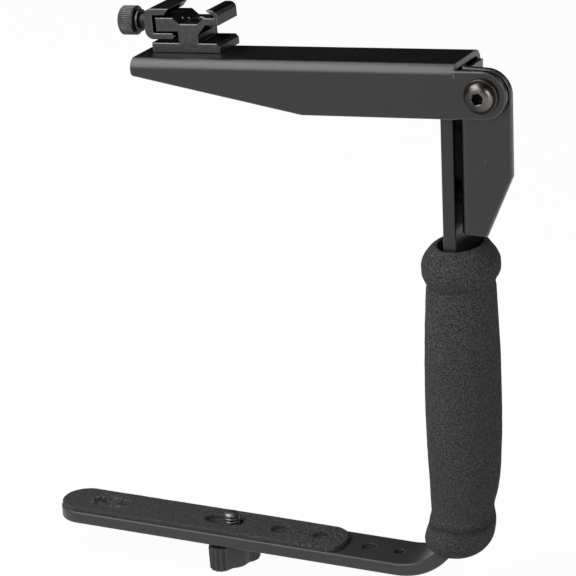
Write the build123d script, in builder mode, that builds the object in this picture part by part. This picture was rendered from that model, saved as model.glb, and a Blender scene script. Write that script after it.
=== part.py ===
from build123d import *
import os
from math import cos, radians, sin

os.makedirs("parts", exist_ok=True)

# All lengths are in millimetres and all angles in degrees.
# Origin: mouth of the tripod socket on the bar's underside, +X toward the upright, +Z up.

# Flat bar, bent up once into the upright
bar_width = 22.0
bar_thick = 5.2
bar_edge_r = 0.8
bar_left_end = -140.4
upright_x = 39.7
upright_top = 208.8
upright_corner_r = 2.0
bend_inner_r = 24.0

# Holes along the bar's centre line, as distances from the socket
slot_width = 7.0
far_slot_inset = 22.8
far_slot_length = 16.6
screw_slot_x = -64.9
screw_slot_length = 16.6
large_hole_x = -39.2
large_hole_r = 3.6
small_hole_x = -21.0
small_hole_r = 3.35
socket_r = 3.2
pin_hole_x = 13.2
pin_hole_r = 2.35

# Soft pad on the bar
pad_end_inset = 0.5
pad_side_inset = 0.95
pad_right_end = -9.7
pad_thick = 1.8
pad_edge = 0.5

# Foam grip: a thick tube pulled over the upright and round the start of the bend
grip_drop = 69.6
bore_x_share = 2.77
bore_y_share = 1.082
grip_flatter = 1.9
grip_rim_flare = 0.6
grip_rim_depth = 1.6
bulge_height = 16.6
grip_shares = (0.0, 0.08, 0.15, 0.22, 0.35, 0.49, 0.62, 0.80, 0.92, 1.0)
grip_halves = (12.0, 12.6, 13.1, 13.6, 14.0, 14.15, 14.0, 13.55, 13.0, 12.75)
bulge_drops = (14.0, 11.0, 7.8, 4.9, 2.7, 1.1)
bulge_halves = (13.2, 14.2, 14.5, 13.75, 12.2, 10.4)
toe_angles = (12.0, 23.0, 31.0, 36.5, 39.5)
toe_tilts = (7.0, 12.0, 14.0, 15.0, 15.0)
toe_halves = (12.4, 12.9, 12.4, 11.0, 9.0)
toe_shifts = (0.7, 1.1, 1.0, 0.8, 0.6)
grip_end_half = 8.9

# Folded steel sheet of the bracket and of the arm
sheet = 2.35

# Pivot bracket: an angle that stands off the upright
web_gap = 1.45
bracket_bend_r = 4.0
plate_past_pivot = 10.14
plate_over_pivot = 9.39
plate_corner_r = 9.5
web_drop = 0.6
plate_foot_width = 10.75
plate_slant_height = 24.2
bracket_over_grip = 6.7
plate_edge_r = 0.35

# Screws that hold the bracket to the upright
bracket_screw_y = 1.5
first_screw_rise = 13.1
bracket_screw_pitch = 28.5
bracket_screw_r = 2.0
bracket_head_r = 3.8
bracket_head_height = 2.2
bracket_socket_r = 1.45
bracket_socket_depth = 1.2
spacer_r = 4.5
screw_fit = 0.05
screw_end_inset = 0.3

# Flip arm: a channel with an ear at its front right, tilted by its own weight
arm_sag = 3.0
arm_rest_gap = 0.15
arm_left = -127.3
arm_side_gap = 0.5
arm_over_web = 0.05
arm_bend_r = 4.2
front_flange = 20.3
back_flange = 12.0
flange_left = 6.5
kink_x = -55.7
ear_r = 9.1
ear_lead = 0.4
pivot_web_gap = 2.06
arm_corner_r = 1.6
arm_edge_r = 0.35
arm_edge_slope = 45.0
past = 2.0

# Pivot bolt, its washers and nut
pivot_r = 3.175
pivot_fit = 0.05
head_r = 5.55
head_height = 3.35
head_rim = 1.1
head_flat_r = 2.75
head_shoulder_r = 4.45
head_shoulder = 2.6
hex_socket_turn = 15.0
hex_socket_r = 2.29
hex_socket_depth = 2.1
washer_r = 6.6
washer_thick = 1.27
washer_edge = 0.2
friction_washer_r = 7.6
friction_washer_thick = 0.91
slide_gap = 0.03
nut_flats = 11.1
nut_height = 3.4
nut_turn = -4.5
nut_collar_r = 4.8
nut_collar_height = 2.0
nut_chamfer = 0.5
bolt_tip_out = 1.0
tip_chamfer = 0.6

# Captive camera screw in the second slot
camera_screw_shift = 3.7
camera_screw_r = 3.175
camera_screw_top = 10.9
relief_r = 2.6
relief_rise = 0.5
relief_height = 0.8
knob_top = -1.3
knob_height = 10.5
knob_hub_r = 6.6
wing_length = 7.6
wing_r = 4.6
wing_angles = (-113.0, 56.0)
knob_taper = 2.0
knob_rim = 0.8
knob_floor = 2.0
nylon_washer_r = 7.0
nylon_washer_thick = 1.2

# Flash shoe block, with x measured from its mounting screw
shoe_inset = 21.5
shoe_back_inset = 0.15
shoe_depth = 16.7
foot_left = -16.7
foot_right = 12.7
foot_top = 3.9
foot_chamfer = 1.2
neck_left = -4.9
neck_right = 3.7
wing_left = -14.2
wing_under = 8.3
seat_z = 13.8
trough_left_top = -6.5
trough_left = -3.7
trough_right = 3.7
trough_right_top = 6.5
trough_floor = 11.4
rail_right = 12.85
rail_under = 10.9
undercut_top_x = 7.4
undercut_low_z = 6.9
rail_groove_x = 11.2
rail_groove_top = 14.6
rail_tip_x = 8.3
rail_tip_under = 16.4
rail_top = 16.8
rail_round_r = 2.4
shoe_edge = 0.25

# Clamping jaw, a C that hooks round the block's left wing
jaw_tip_x = -8.0
jaw_top = 17.3
jaw_bevel_x = -10.3
jaw_lip_under = 14.7
jaw_inner_x = -15.6
jaw_left = -19.2
jaw_lower_lip_top = 7.7
jaw_lower_tip_x = -6.0
jaw_lower_tip_z = 6.5
jaw_lower_nose = 1.3
jaw_bottom = 5.2
jaw_top_r = 3.2
jaw_bottom_r = 3.4

# Clamp screw and its knurled knob
clamp_z = 10.7
clamp_r = 1.5
clamp_fit = 0.06
clamp_tip = -7.4
clamp_bore_end = -6.1
clamp_knob_left = -32.8
clamp_knob_inner = -26.2
clamp_knob_r = 5.75
clamp_knob_chamfer = 0.6
clamp_groove_r = 3.5
clamp_groove = 0.6
clamp_ring_r = 4.4
clamp_ring = 1.0
clamp_neck_r = 4.0
clamp_screw_head_end = -31.2

# Countersunk screw and nut that hold the block on the arm
mount_screw_r = 2.0
mount_head_r = 3.4
mount_head_height = 1.9
mount_head_drop = 0.15
mount_socket_r = 1.45
mount_socket_depth = 1.3
mount_nut_flats = 7.0
mount_nut_height = 3.2
mount_tip_out = 0.6

# Places along the bar and up the upright
half_width = bar_width / 2
bend_x = upright_x - bend_inner_r
bend_z = bar_thick + bend_inner_r
upright_outer = upright_x + bar_thick
far_slot_x = bar_left_end + far_slot_inset
camera_screw_x = screw_slot_x + camera_screw_shift
pad_left_end = bar_left_end + pad_end_inset
pad_width = bar_width - pad_side_inset * 2
grip_bore_x = bar_thick / 2 * bore_x_share
grip_bore_y = half_width * bore_y_share
grip_wall_y = grip_bore_y - grip_bore_x - grip_flatter
grip_top = upright_top - grip_drop
bulge_foot = grip_top - bulge_height

# The arm straddles the bar and lies on the upright's end
half_arm = half_width + arm_side_gap + sheet
arm_width = half_arm * 2
arm_z = upright_top + arm_rest_gap + sheet / cos(radians(arm_sag))
arm = Plane(
    origin=(upright_x, 0, arm_z),
    x_dir=(cos(radians(arm_sag)), 0, sin(radians(arm_sag))),
    z_dir=(-sin(radians(arm_sag)), 0, cos(radians(arm_sag))),
)

# The pivot stands clear of the bracket's web, and the plate follows it
web_x = upright_outer + web_gap
web_back_y = half_width
head_face = web_x + sheet
ear_z = ear_r - front_flange
pivot_across = head_face + washer_r + pivot_web_gap - upright_x
pivot_x = (pivot_across + ear_z * sin(radians(arm_sag))) / cos(radians(arm_sag))
pivot = arm.from_local_coords((pivot_x, 0, ear_z))
ear_x = pivot_x + ear_lead
arm_right = web_x + arm_over_web - upright_x
plate_front_y = half_arm - sheet - slide_gap - friction_washer_thick
plate_right = pivot.X + plate_past_pivot
plate_top = pivot.Z + plate_over_pivot
plate_bottom = grip_top + bracket_over_grip
plate_slant_top = plate_bottom + plate_slant_height
plate_foot_right = web_x + plate_foot_width
web_top = upright_top - web_drop
first_screw_z = plate_bottom + first_screw_rise
bracket_screw_heights = (first_screw_z, first_screw_z + bracket_screw_pitch)

# The shoe's frame: x along the arm from the mounting screw, y across it, z up through its web
shoe_back = half_arm - shoe_back_inset
clamp_y = shoe_back - shoe_depth / 2
shoe = Plane(
    origin=arm.from_local_coords((arm_left + shoe_inset, 0, 0)), x_dir=arm.x_dir, z_dir=arm.z_dir,
)


def side_of(frame, y):
    """Side profile plane of the arm or the shoe at y, extruded toward the front."""
    return Plane(origin=frame.from_local_coords((0, y, 0)), x_dir=frame.x_dir, z_dir=-frame.y_dir)


def across(frame, x):
    """Cross section plane of the arm or the shoe at x, extruded toward the right."""
    return Plane(origin=frame.from_local_coords((x, 0, 0)), x_dir=frame.y_dir, z_dir=frame.x_dir)


def level(frame, z):
    """Plane parallel to the arm's web at z, extruded upward."""
    return Plane(origin=frame.from_local_coords((0, 0, z)), x_dir=frame.x_dir, z_dir=frame.z_dir)


# The L shaped bar
with BuildPart() as l_bar:
    with BuildSketch(Plane.XZ.offset(-half_width)):
        with BuildLine():
            Line((bar_left_end + half_width, 0), (bend_x, 0))
            CenterArc((bend_x, bend_z), bend_inner_r + bar_thick, -90, 90)
            Polyline(
                (upright_outer, bend_z), (upright_outer, upright_top),
                (upright_x, upright_top), (upright_x, bend_z),
            )
            CenterArc((bend_x, bend_z), bend_inner_r, 0, -90)
            Polyline(
                (bend_x, bar_thick), (bar_left_end + half_width, bar_thick),
                (bar_left_end + half_width, 0),
            )
        make_face()
    extrude(amount=bar_width)
    fillet(l_bar.edges().filter_by(Axis.X).group_by(Axis.Z)[-1], upright_corner_r)
    with BuildSketch(Plane.XY):
        with Locations((bar_left_end + half_width, 0)):
            Circle(half_width)
    extrude(amount=bar_thick)
    fillet([e for e in l_bar.edges() if e.length > bar_thick + bar_edge_r], bar_edge_r)
    with BuildSketch(Plane.XY):
        with Locations((far_slot_x, 0)):
            SlotOverall(far_slot_length, slot_width)
        with Locations((screw_slot_x, 0)):
            SlotOverall(screw_slot_length, slot_width)
        with Locations((large_hole_x, 0)):
            Circle(large_hole_r)
        with Locations((small_hole_x, 0)):
            Circle(small_hole_r)
        Circle(socket_r)
        with Locations((pin_hole_x, 0)):
            Circle(pin_hole_r)
    extrude(amount=bar_thick, mode=Mode.SUBTRACT)
    with BuildSketch(Plane.YZ.offset(upright_x)):
        with Locations(*[(bracket_screw_y, z) for z in bracket_screw_heights]):
            Circle(bracket_screw_r + screw_fit)
    extrude(amount=bar_thick, mode=Mode.SUBTRACT)
l_bar.part.label = "l_bar"
export_step(l_bar.part, "parts/l_bar.step")

# The soft pad, with the bar's slots and holes
pad_length = pad_right_end - pad_left_end
pad_mid = (pad_left_end + pad_right_end) / 2
with BuildPart() as base_pad:
    with BuildSketch(Plane.XY.offset(bar_thick)):
        with Locations((pad_mid, 0)):
            SlotOverall(pad_length, pad_width)
    extrude(amount=pad_thick)
    chamfer(base_pad.faces().sort_by(Axis.Z)[-1].edges(), pad_edge)
    with BuildSketch(Plane.XY.offset(bar_thick)):
        with Locations((far_slot_x, 0)):
            SlotOverall(far_slot_length, slot_width)
        with Locations((screw_slot_x, 0)):
            SlotOverall(screw_slot_length, slot_width)
        with Locations((large_hole_x, 0)):
            Circle(large_hole_r)
        with Locations((small_hole_x, 0)):
            Circle(small_hole_r)
    extrude(amount=pad_thick, mode=Mode.SUBTRACT)
base_pad.part.label = "base_pad"
export_step(base_pad.part, "parts/base_pad.step")

# The foam grip: oval sections up the upright and, tilting less than the bar, round the bend
path_r = bend_inner_r + bar_thick / 2
grip_axis = upright_x + bar_thick / 2


def grip_section(height):
    """Level plane of the grip at a height on the upright."""
    return Plane(origin=(grip_axis, 0, height))


def toe_section(angle, tilt, shift):
    """Plane of the grip where it has followed the bend by an angle."""
    middle = bend_x + path_r * cos(radians(angle)) - shift
    return Plane(
        origin=(middle, 0, bend_z - path_r * sin(radians(angle))),
        x_dir=(cos(radians(tilt)), 0, -sin(radians(tilt))),
        z_dir=(sin(radians(tilt)), 0, cos(radians(tilt))),
    )


toe = list(zip(toe_angles, toe_tilts, toe_shifts, toe_halves))
stem = [(bend_z + share * (bulge_foot - bend_z), half) for share, half in zip(grip_shares, grip_halves)]
stem += [(grip_top - drop, half) for drop, half in zip(bulge_drops, bulge_halves)]
toe_out = toe_section(2 * toe_angles[-1] - toe_angles[-2], toe_tilts[-1], 0)
with BuildPart() as foam_grip:
    for angle, tilt, shift, half in reversed(toe):
        with BuildSketch(toe_section(angle, tilt, shift)):
            Ellipse(half, half + grip_wall_y)
    for height, half in stem:
        with BuildSketch(grip_section(height)):
            Ellipse(half, half + grip_wall_y)
    with BuildSketch(grip_section(grip_top)):
        Ellipse(grip_end_half, grip_end_half + grip_wall_y + grip_rim_depth)
    loft(ruled=True)
    with BuildSketch(toe_out):
        Ellipse(grip_bore_x + grip_rim_flare, grip_bore_y)
    for angle, tilt, shift, half in reversed(toe):
        with BuildSketch(toe_section(angle, tilt, 0)):
            Ellipse(grip_bore_x, grip_bore_y)
    with BuildSketch(grip_section(bend_z)):
        Ellipse(grip_bore_x, grip_bore_y)
    with BuildSketch(grip_section(grip_top - grip_rim_depth)):
        Ellipse(grip_bore_x, grip_bore_y)
    with BuildSketch(grip_section(grip_top + grip_rim_depth)):
        Ellipse(grip_bore_x + grip_rim_flare, grip_bore_y + grip_rim_flare)
    loft(ruled=True, mode=Mode.SUBTRACT)
foam_grip.part.label = "foam_grip"
export_step(foam_grip.part, "parts/foam_grip.step")

# The bracket: a folded angle whose front plate carries the pivot
with BuildPart() as pivot_bracket:
    with BuildSketch(Plane.XY.offset(plate_bottom)) as angle_section:
        with Locations((web_x, -plate_front_y)):
            Rectangle(plate_right - web_x, sheet, align=(Align.MIN, Align.MIN))
            Rectangle(sheet, plate_front_y + web_back_y, align=(Align.MIN, Align.MIN))
        corners = angle_section.vertices()
        fillet(corners.sort_by_distance((web_x, -plate_front_y, 0))[0], bracket_bend_r)
        corners = angle_section.vertices()
        inner = corners.sort_by_distance((web_x + sheet, sheet - plate_front_y, 0))[0]
        fillet(inner, bracket_bend_r - sheet)
    extrude(amount=plate_top - plate_bottom)
    with BuildSketch(Plane.XZ.offset(-web_back_y)):
        with BuildLine():
            Polyline(
                (plate_right, plate_slant_top), (plate_foot_right, plate_bottom),
                (plate_right + past, plate_bottom), (plate_right + past, plate_slant_top),
                close=True,
            )
        make_face()
        with BuildLine():
            Polyline(
                (web_x, web_top), (head_face, web_top), (head_face, plate_top),
                (web_x, plate_top), close=True,
            )
        make_face()
    extrude(amount=plate_front_y + web_back_y, mode=Mode.SUBTRACT)
    plate_face = pivot_bracket.faces().sort_by(Axis.Y)[0]
    upper_right = (plate_right, -plate_front_y + sheet / 2, plate_top)
    fillet(pivot_bracket.edges().filter_by(Axis.Y).sort_by_distance(upper_right)[0], plate_corner_r)
    front_face = pivot_bracket.faces().filter_by(Axis.Y).sort_by(Axis.Y)[0]
    chamfer(front_face.edges().filter_by(lambda e: e.center().X > web_x + bracket_bend_r),
            plate_edge_r)
    with BuildSketch(Plane.XZ.offset(plate_front_y - sheet)):
        with Locations((pivot.X, pivot.Z)):
            Circle(pivot_r + screw_fit)
    extrude(amount=sheet, mode=Mode.SUBTRACT)
    with BuildSketch(Plane.YZ.offset(web_x)):
        with Locations(*[(bracket_screw_y, z) for z in bracket_screw_heights]):
            Circle(bracket_screw_r + screw_fit)
    extrude(amount=sheet, mode=Mode.SUBTRACT)
pivot_bracket.part.label = "pivot_bracket"
export_step(pivot_bracket.part, "parts/pivot_bracket.step")

# Two spacer washers keep the web clear of the upright
with BuildPart() as bracket_spacers:
    with BuildSketch(Plane.YZ.offset(upright_outer)):
        with Locations(*[(bracket_screw_y, z) for z in bracket_screw_heights]):
            Circle(spacer_r)
            Circle(bracket_screw_r + screw_fit, mode=Mode.SUBTRACT)
    extrude(amount=web_gap)
bracket_spacers.part.label = "bracket_spacers"
export_step(bracket_spacers.part, "parts/bracket_spacers.step")

# Two socket screws through the web and the spacers into the upright
with BuildPart() as bracket_screws:
    with BuildSketch(Plane.YZ.offset(upright_x + screw_end_inset)):
        with Locations(*[(bracket_screw_y, z) for z in bracket_screw_heights]):
            Circle(bracket_screw_r)
    extrude(amount=head_face - upright_x - screw_end_inset)
    with BuildSketch(Plane.YZ.offset(head_face)):
        with Locations(*[(bracket_screw_y, z) for z in bracket_screw_heights]):
            Circle(bracket_head_r)
    extrude(amount=bracket_head_height)
    head_tops = bracket_screws.faces().filter_by(Axis.X).sort_by(Axis.X)[-2:]
    chamfer(head_tops.edges(), bracket_head_height / 2)
    with BuildSketch(Plane.YZ.offset(head_face + bracket_head_height)):
        with Locations(*[(bracket_screw_y, z) for z in bracket_screw_heights]):
            RegularPolygon(bracket_socket_r, 6)
    extrude(amount=-bracket_socket_depth, mode=Mode.SUBTRACT)
bracket_screws.part.label = "bracket_screws"
export_step(bracket_screws.part, "parts/bracket_screws.step")

# The flip arm: a tapering channel, folded once along each side, with a flat ear for the pivot
with BuildPart() as flip_arm:
    with BuildSketch(across(arm, arm_left)) as channel:
        with BuildLine():
            Polyline(
                (-half_arm, -front_flange), (-half_arm, 0), (half_arm, 0),
                (half_arm, -back_flange), (half_arm - sheet, -back_flange),
                (half_arm - sheet, -sheet), (sheet - half_arm, -sheet),
                (sheet - half_arm, -front_flange), close=True,
            )
        make_face()
        for y in (-half_arm, half_arm):
            fillet(channel.vertices().sort_by_distance((y, 0, 0))[0], arm_bend_r)
        for y in (sheet - half_arm, half_arm - sheet):
            fillet(channel.vertices().sort_by_distance((y, -sheet, 0))[0], arm_bend_r - sheet)
    extrude(amount=arm_right - arm_left)
    for y, depth, slope in ((sheet - half_arm, sheet - arm_edge_r, 0),
                            (arm_edge_r - half_arm, arm_edge_r, arm_edge_slope)):
        with BuildSketch(side_of(arm, y)):
            with Locations((arm_right - sheet, -front_flange)):
                Rectangle(ear_x - arm_right + sheet, front_flange - arm_bend_r,
                          align=(Align.MIN, Align.MIN))
            with Locations((arm_right, -front_flange)):
                Rectangle(ear_x - arm_right, ear_r * 2, align=(Align.MIN, Align.MIN))
            with Locations((ear_x, ear_z)):
                Circle(ear_r)
        extrude(amount=depth, taper=slope)
    with BuildSketch(side_of(arm, half_arm)):
        with BuildLine():
            Polyline(
                (arm_left, -flange_left), (kink_x, -front_flange),
                (kink_x, -front_flange - past), (arm_left - past, -front_flange - past),
                (arm_left - past, -flange_left), close=True,
            )
        make_face()
    extrude(amount=arm_width, mode=Mode.SUBTRACT)
    for y in (sheet / 2 - half_arm, half_arm - sheet / 2):
        tip = arm.from_local_coords((arm_left, y, -flange_left))
        fillet(flip_arm.edges().filter_by(Axis.Y).sort_by_distance(tip)[0], arm_corner_r)
    with BuildSketch(side_of(arm, sheet - half_arm)):
        with Locations((pivot_x, ear_z)):
            Circle(pivot_r + pivot_fit)
    extrude(amount=sheet, mode=Mode.SUBTRACT)
    with BuildSketch(level(shoe, -sheet)):
        with Locations((0, clamp_y)):
            Circle(mount_screw_r + screw_fit)
    extrude(amount=sheet, mode=Mode.SUBTRACT)
flip_arm.part.label = "flip_arm"
export_step(flip_arm.part, "parts/flip_arm.step")

# The pivot bolt: a domed socket head outside the ear, a lock nut inside the bracket
pivot_line = Axis((pivot.X, 0, pivot.Z), (0, 1, 0))
pivot_plane = Plane(origin=(pivot.X, 0, pivot.Z))
ear_outer = half_arm + slide_gap
head_base = ear_outer + washer_thick
head_tip = head_base + head_height
plate_back = sheet - plate_front_y
nut_start = plate_back + washer_thick
bolt_end = nut_start + nut_height + nut_collar_height + bolt_tip_out
with BuildPart() as pivot_bolt:
    with BuildSketch(pivot_plane):
        with BuildLine():
            Polyline(
                (0, -head_tip), (head_flat_r, -head_tip),
                (head_shoulder_r, -head_base - head_shoulder), (head_r, -head_base - head_rim),
                (head_r, -head_base), (pivot_r, -head_base), (pivot_r, bolt_end - tip_chamfer),
                (pivot_r - tip_chamfer, bolt_end), (0, bolt_end), close=True,
            )
        make_face()
    revolve(axis=pivot_line)
    with BuildSketch(Plane.XZ.offset(head_tip)):
        with Locations((pivot.X, pivot.Z)):
            RegularPolygon(hex_socket_r, 6, rotation=hex_socket_turn)
    extrude(amount=-hex_socket_depth, mode=Mode.SUBTRACT)
pivot_bolt.part.label = "pivot_bolt"
export_step(pivot_bolt.part, "parts/pivot_bolt.step")

# The washer under the bolt's head
with BuildPart() as pivot_head_washer:
    with BuildSketch(Plane.XZ.offset(ear_outer)):
        with Locations((pivot.X, pivot.Z)):
            Circle(washer_r)
            Circle(pivot_r + screw_fit, mode=Mode.SUBTRACT)
    extrude(amount=washer_thick)
    rim = pivot_head_washer.faces().filter_by(Axis.Y).sort_by(Axis.Y)[0].edges()
    chamfer(rim.sort_by(SortBy.LENGTH)[-1], washer_edge)
pivot_head_washer.part.label = "pivot_head_washer"
export_step(pivot_head_washer.part, "parts/pivot_head_washer.step")

# The friction washer between the ear and the plate
with BuildPart() as pivot_friction_washer:
    with BuildSketch(Plane.XZ.offset(plate_front_y)):
        with Locations((pivot.X, pivot.Z)):
            Circle(friction_washer_r)
            Circle(pivot_r + screw_fit, mode=Mode.SUBTRACT)
    extrude(amount=friction_washer_thick)
pivot_friction_washer.part.label = "pivot_friction_washer"
export_step(pivot_friction_washer.part, "parts/pivot_friction_washer.step")

# The washer behind the plate
with BuildPart() as pivot_back_washer:
    with BuildSketch(Plane.XZ.offset(-nut_start)):
        with Locations((pivot.X, pivot.Z)):
            Circle(washer_r)
            Circle(pivot_r + screw_fit, mode=Mode.SUBTRACT)
    extrude(amount=washer_thick)
pivot_back_washer.part.label = "pivot_back_washer"
export_step(pivot_back_washer.part, "parts/pivot_back_washer.step")

# The lock nut: a hexagon with a round collar that holds its insert
with BuildPart() as pivot_lock_nut:
    with BuildSketch(Plane.XZ.offset(-nut_start)):
        with Locations((pivot.X, pivot.Z)):
            RegularPolygon(nut_flats / 2, 6, major_radius=False, rotation=nut_turn)
    extrude(amount=-nut_height)
    chamfer(pivot_lock_nut.faces().sort_by(Axis.Y)[-1].edges(), nut_chamfer)
    with BuildSketch(Plane.XZ.offset(-nut_start - nut_height)):
        with Locations((pivot.X, pivot.Z)):
            Circle(nut_collar_r)
    extrude(amount=-nut_collar_height)
    chamfer(pivot_lock_nut.faces().sort_by(Axis.Y)[-1].edges(), nut_chamfer)
    with BuildSketch(Plane.XZ.offset(-nut_start)):
        with Locations((pivot.X, pivot.Z)):
            Circle(pivot_r + screw_fit)
    extrude(amount=-nut_height - nut_collar_height, mode=Mode.SUBTRACT)
pivot_lock_nut.part.label = "pivot_lock_nut"
export_step(pivot_lock_nut.part, "parts/pivot_lock_nut.step")

# The camera screw: a stud that slides along the second slot, relieved below its free thread
knob_bottom = knob_top - knob_height
with BuildPart() as camera_screw:
    with BuildSketch(Plane.XY.offset(knob_bottom + knob_floor)):
        with Locations((camera_screw_x, 0)):
            Circle(camera_screw_r)
    extrude(amount=camera_screw_top - knob_bottom - knob_floor)
    chamfer(camera_screw.edges().sort_by(Axis.Z)[-1], tip_chamfer)
    with BuildSketch(Plane.XY.offset(bar_thick + pad_thick + relief_rise)):
        with Locations((camera_screw_x, 0)):
            Circle(camera_screw_r + past)
            Circle(relief_r, mode=Mode.SUBTRACT)
    extrude(amount=-relief_height, mode=Mode.SUBTRACT)
camera_screw.part.label = "camera_screw"
export_step(camera_screw.part, "parts/camera_screw.step")

# The winged knob under the bar
with BuildPart() as camera_screw_knob:
    with BuildSketch(Plane(origin=(camera_screw_x, 0, knob_top), x_dir=(1, 0, 0), z_dir=(0, 0, -1))) as wings:
        Circle(knob_hub_r)
        for angle in wing_angles:
            with PolarLocations(0, 1, start_angle=-angle):
                Rectangle(wing_length, wing_r * 2, align=(Align.MIN, Align.CENTER))
            with PolarLocations(wing_length, 1, start_angle=-angle):
                Circle(wing_r)
    extrude(amount=knob_height, taper=knob_taper)
    chamfer(camera_screw_knob.faces().sort_by(Axis.Z)[0].edges(), knob_rim)
    with BuildSketch(Plane(origin=(camera_screw_x, 0, knob_top), x_dir=(1, 0, 0), z_dir=(0, 0, -1))):
        Circle(camera_screw_r + screw_fit)
    extrude(amount=knob_height - knob_floor, mode=Mode.SUBTRACT)
camera_screw_knob.part.label = "camera_screw_knob"
export_step(camera_screw_knob.part, "parts/camera_screw_knob.step")

# The slippery washer between the knob and the bar
with BuildPart() as camera_screw_washer:
    with BuildSketch(Plane.XY.offset(-slide_gap - nylon_washer_thick)):
        with Locations((camera_screw_x, 0)):
            Circle(nylon_washer_r)
            Circle(camera_screw_r + pivot_fit, mode=Mode.SUBTRACT)
    extrude(amount=nylon_washer_thick)
camera_screw_washer.part.label = "camera_screw_washer"
export_step(camera_screw_washer.part, "parts/camera_screw_washer.step")

# The shoe block: foot, neck, left wing, trough and the fixed rail on the right
with BuildPart() as shoe_block:
    with BuildSketch(side_of(shoe, shoe_back)) as block_side:
        with BuildLine():
            Polyline(
                (foot_left, 0), (foot_right, 0), (foot_right, foot_top - foot_chamfer),
                (foot_right - foot_chamfer, foot_top), (neck_right, foot_top),
                (neck_right, undercut_low_z), (undercut_top_x, rail_under),
                (rail_right, rail_under), (rail_right, rail_top), (rail_tip_x, rail_top),
                (rail_tip_x, rail_tip_under), (rail_groove_x, rail_groove_top),
                (rail_groove_x, seat_z), (trough_right_top, seat_z),
                (trough_right, trough_floor), (trough_left, trough_floor),
                (trough_left_top, seat_z), (wing_left, seat_z), (wing_left, wing_under),
                (neck_left, wing_under), (neck_left, foot_top), (foot_left, foot_top),
                close=True,
            )
        make_face()
        corners = block_side.vertices()
        fillet(corners.sort_by_distance((rail_right, rail_top, 0))[0], rail_round_r)
    extrude(amount=shoe_depth)
    front = shoe_block.faces().filter_by(Axis.Y).sort_by(Axis.Y)[0]
    chamfer(front.edges(), shoe_edge)
    with BuildSketch(across(shoe, wing_left)):
        with Locations((clamp_y, clamp_z)):
            Circle(clamp_r + clamp_fit)
    extrude(amount=clamp_bore_end - wing_left, mode=Mode.SUBTRACT)
    with BuildSketch(level(shoe, 0)):
        with Locations((0, clamp_y)):
            Circle(mount_screw_r + screw_fit)
    extrude(amount=trough_floor, mode=Mode.SUBTRACT)
    sink_top = trough_floor + past
    sink_r = mount_head_r + screw_fit
    with BuildSketch(Plane(origin=shoe.from_local_coords((0, clamp_y, 0)),
                           x_dir=shoe.x_dir, z_dir=-shoe.y_dir)):
        with BuildLine():
            Polyline(
                (0, trough_floor - mount_head_drop - mount_head_height),
                (mount_screw_r + screw_fit, trough_floor - mount_head_drop - mount_head_height),
                (sink_r, trough_floor - mount_head_drop), (sink_r, sink_top), (0, sink_top),
                close=True,
            )
        make_face()
    revolve(axis=Axis(shoe.from_local_coords((0, clamp_y, 0)), shoe.z_dir), mode=Mode.SUBTRACT)
shoe_block.part.label = "shoe_block"
export_step(shoe_block.part, "parts/shoe_block.step")

# The clamping jaw
with BuildPart() as shoe_jaw:
    with BuildSketch(side_of(shoe, shoe_back)) as jaw_side:
        with BuildLine():
            Polyline(
                (jaw_tip_x, jaw_top), (jaw_left, jaw_top), (jaw_left, jaw_bottom),
                (jaw_lower_tip_x - jaw_lower_nose, jaw_bottom),
                (jaw_lower_tip_x, jaw_lower_tip_z),
                (jaw_lower_tip_x - jaw_lower_nose, jaw_lower_lip_top),
                (jaw_inner_x, jaw_lower_lip_top), (jaw_inner_x, jaw_lip_under),
                (jaw_bevel_x, jaw_lip_under), close=True,
            )
        make_face()
        fillet(jaw_side.vertices().sort_by_distance((jaw_left, jaw_top, 0))[0], jaw_top_r)
        fillet(jaw_side.vertices().sort_by_distance((jaw_left, jaw_bottom, 0))[0], jaw_bottom_r)
    extrude(amount=shoe_depth)
    front = shoe_jaw.faces().filter_by(Axis.Y).sort_by(Axis.Y)[0]
    chamfer(front.edges(), shoe_edge)
    with BuildSketch(across(shoe, jaw_left)):
        with Locations((clamp_y, clamp_z)):
            Circle(clamp_r + clamp_fit)
    extrude(amount=jaw_inner_x - jaw_left, mode=Mode.SUBTRACT)
shoe_jaw.part.label = "shoe_jaw"
export_step(shoe_jaw.part, "parts/shoe_jaw.step")

# The clamp screw, from inside its knob to the block's wing
clamp_line = Axis(shoe.from_local_coords((0, clamp_y, clamp_z)), shoe.x_dir)
with BuildPart() as shoe_clamp_screw:
    with BuildSketch(across(shoe, clamp_screw_head_end)):
        with Locations((clamp_y, clamp_z)):
            Circle(clamp_r)
    extrude(amount=clamp_tip - clamp_screw_head_end)
shoe_clamp_screw.part.label = "shoe_clamp_screw"
export_step(shoe_clamp_screw.part, "parts/shoe_clamp_screw.step")

# The knob of the clamp screw: disc, groove, ring and neck
clamp_ring_end = clamp_knob_inner + clamp_groove + clamp_ring
with BuildPart() as shoe_knob:
    with BuildSketch(Plane(origin=shoe.from_local_coords((0, clamp_y, clamp_z)),
                           x_dir=shoe.x_dir, z_dir=-shoe.y_dir)):
        with BuildLine():
            Polyline(
                (clamp_knob_left, 0), (clamp_knob_left, clamp_knob_r - clamp_knob_chamfer),
                (clamp_knob_left + clamp_knob_chamfer, clamp_knob_r),
                (clamp_knob_inner - clamp_knob_chamfer, clamp_knob_r),
                (clamp_knob_inner, clamp_knob_r - clamp_knob_chamfer),
                (clamp_knob_inner, clamp_groove_r),
                (clamp_knob_inner + clamp_groove, clamp_groove_r),
                (clamp_knob_inner + clamp_groove, clamp_ring_r), (clamp_ring_end, clamp_ring_r),
                (clamp_ring_end, clamp_neck_r), (jaw_left - slide_gap, clamp_neck_r),
                (jaw_left - slide_gap, clamp_r + screw_fit),
                (clamp_screw_head_end, clamp_r + screw_fit), (clamp_screw_head_end, 0),
                close=True,
            )
        make_face()
    revolve(axis=clamp_line)
shoe_knob.part.label = "shoe_knob"
export_step(shoe_knob.part, "parts/shoe_knob.step")

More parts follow.
